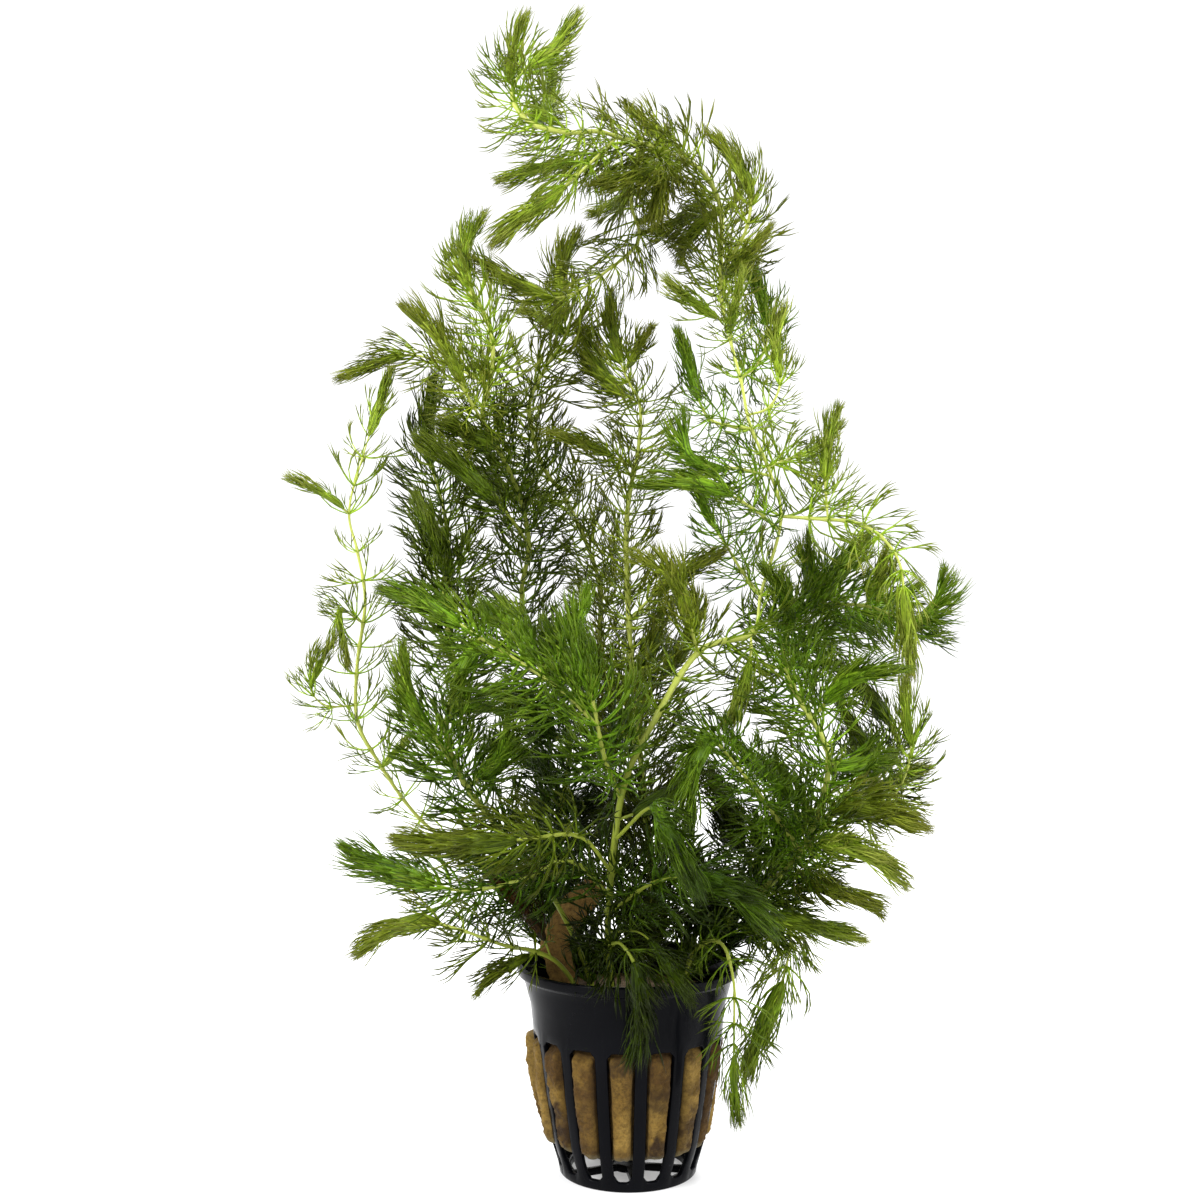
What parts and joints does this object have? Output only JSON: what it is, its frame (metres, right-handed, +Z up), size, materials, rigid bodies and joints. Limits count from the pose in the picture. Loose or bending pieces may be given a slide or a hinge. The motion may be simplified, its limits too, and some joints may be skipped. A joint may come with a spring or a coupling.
{
  "type": "potted hornwort",
  "caption": "Bunch of limp aquatic plant stems with whorls of forked needle leaves and brush-like tips, held by a rockwool plug in a slotted black net pot.",
  "frame": {"origin": "centre of the underside of the pot's base", "axes": "+Z up along the pot's axis; the plant's pictured side faces -Y and its right is +X"},
  "size_m": [0.1621, 0.1063, 0.285],
  "materials": {
    "pot_plastic": "gloss",
    "rockwool": "matte",
    "wool_strip": "matte",
    "leaf_bright": "satin",
    "leaf_dark": "satin",
    "leaf_olive": "satin"
  },
  "bodies": {
    "root": {"net_pot": "pot_plastic", "rockwool_plug": "rockwool", "wool_strip": "wool_strip", "tall_stem_lower": "leaf_bright", "tall_stem_middle": "leaf_bright", "tall_stem_arch": "leaf_olive", "tall_stem_tip": "leaf_bright", "arch_shoot_right": "leaf_olive", "arch_shoot_hanging": "leaf_olive", "arch_shoot_left_high": "leaf_bright", "arch_shoot_left_low": "leaf_bright", "tall_shoot_right_inner": "leaf_bright", "tall_shoot_left_high": "leaf_dark", "tall_shoot_left_middle": "leaf_dark", "tall_shoot_left_low": "leaf_dark", "tall_shoot_left_rising": "leaf_olive", "tall_shoot_right_high": "leaf_bright", "tall_shoot_right_hanging": "leaf_bright", "tall_shoot_inner": "leaf_olive", "front_shoot_upright": "leaf_bright", "front_shoot_left": "leaf_bright", "front_brush_left": "leaf_bright", "front_shoot_right": "leaf_dark", "front_shoot_drooping": "leaf_dark", "rim_shoot_front": "leaf_bright", "long_shoot_left": "leaf_bright", "right_stem_lower": "leaf_olive", "right_stem_upper": "leaf_bright", "right_shoot_tip": "leaf_bright", "right_shoot_back": "leaf_bright", "right_shoot_front": "leaf_dark", "right_shoot_drooping": "leaf_dark", "right_shoot_low_1": "leaf_dark", "right_shoot_low_2": "leaf_dark", "right_shoot_low_3": "leaf_dark", "right_shoot_low_4": "leaf_dark", "far_right_stem": "leaf_dark", "far_right_shoot_thin": "leaf_bright", "far_right_shoot_back": "leaf_olive", "rim_shoot_right": "leaf_bright", "centre_stem_lower": "leaf_olive", "centre_stem_upper": "leaf_olive", "centre_shoot_right": "leaf_olive", "centre_shoot_back": "leaf_olive", "olive_stem_lower": "leaf_olive", "olive_stem_upper": "leaf_olive", "thin_stem_lower": "leaf_bright", "thin_stem_upper": "leaf_bright", "bushy_stem_lower": "leaf_olive", "bushy_stem_upper": "leaf_dark", "bushy_shoot_left": "leaf_dark", "back_stem_lower": "leaf_dark", "back_stem_middle": "leaf_dark", "back_stem_upper": "leaf_bright", "back_shoot_dark": "leaf_dark", "back_shoot_high": "leaf_olive", "back_shoot_reaching": "leaf_dark", "short_stem_left": "leaf_olive", "trailing_stem": "leaf_bright"}
  },
  "joints": []
}
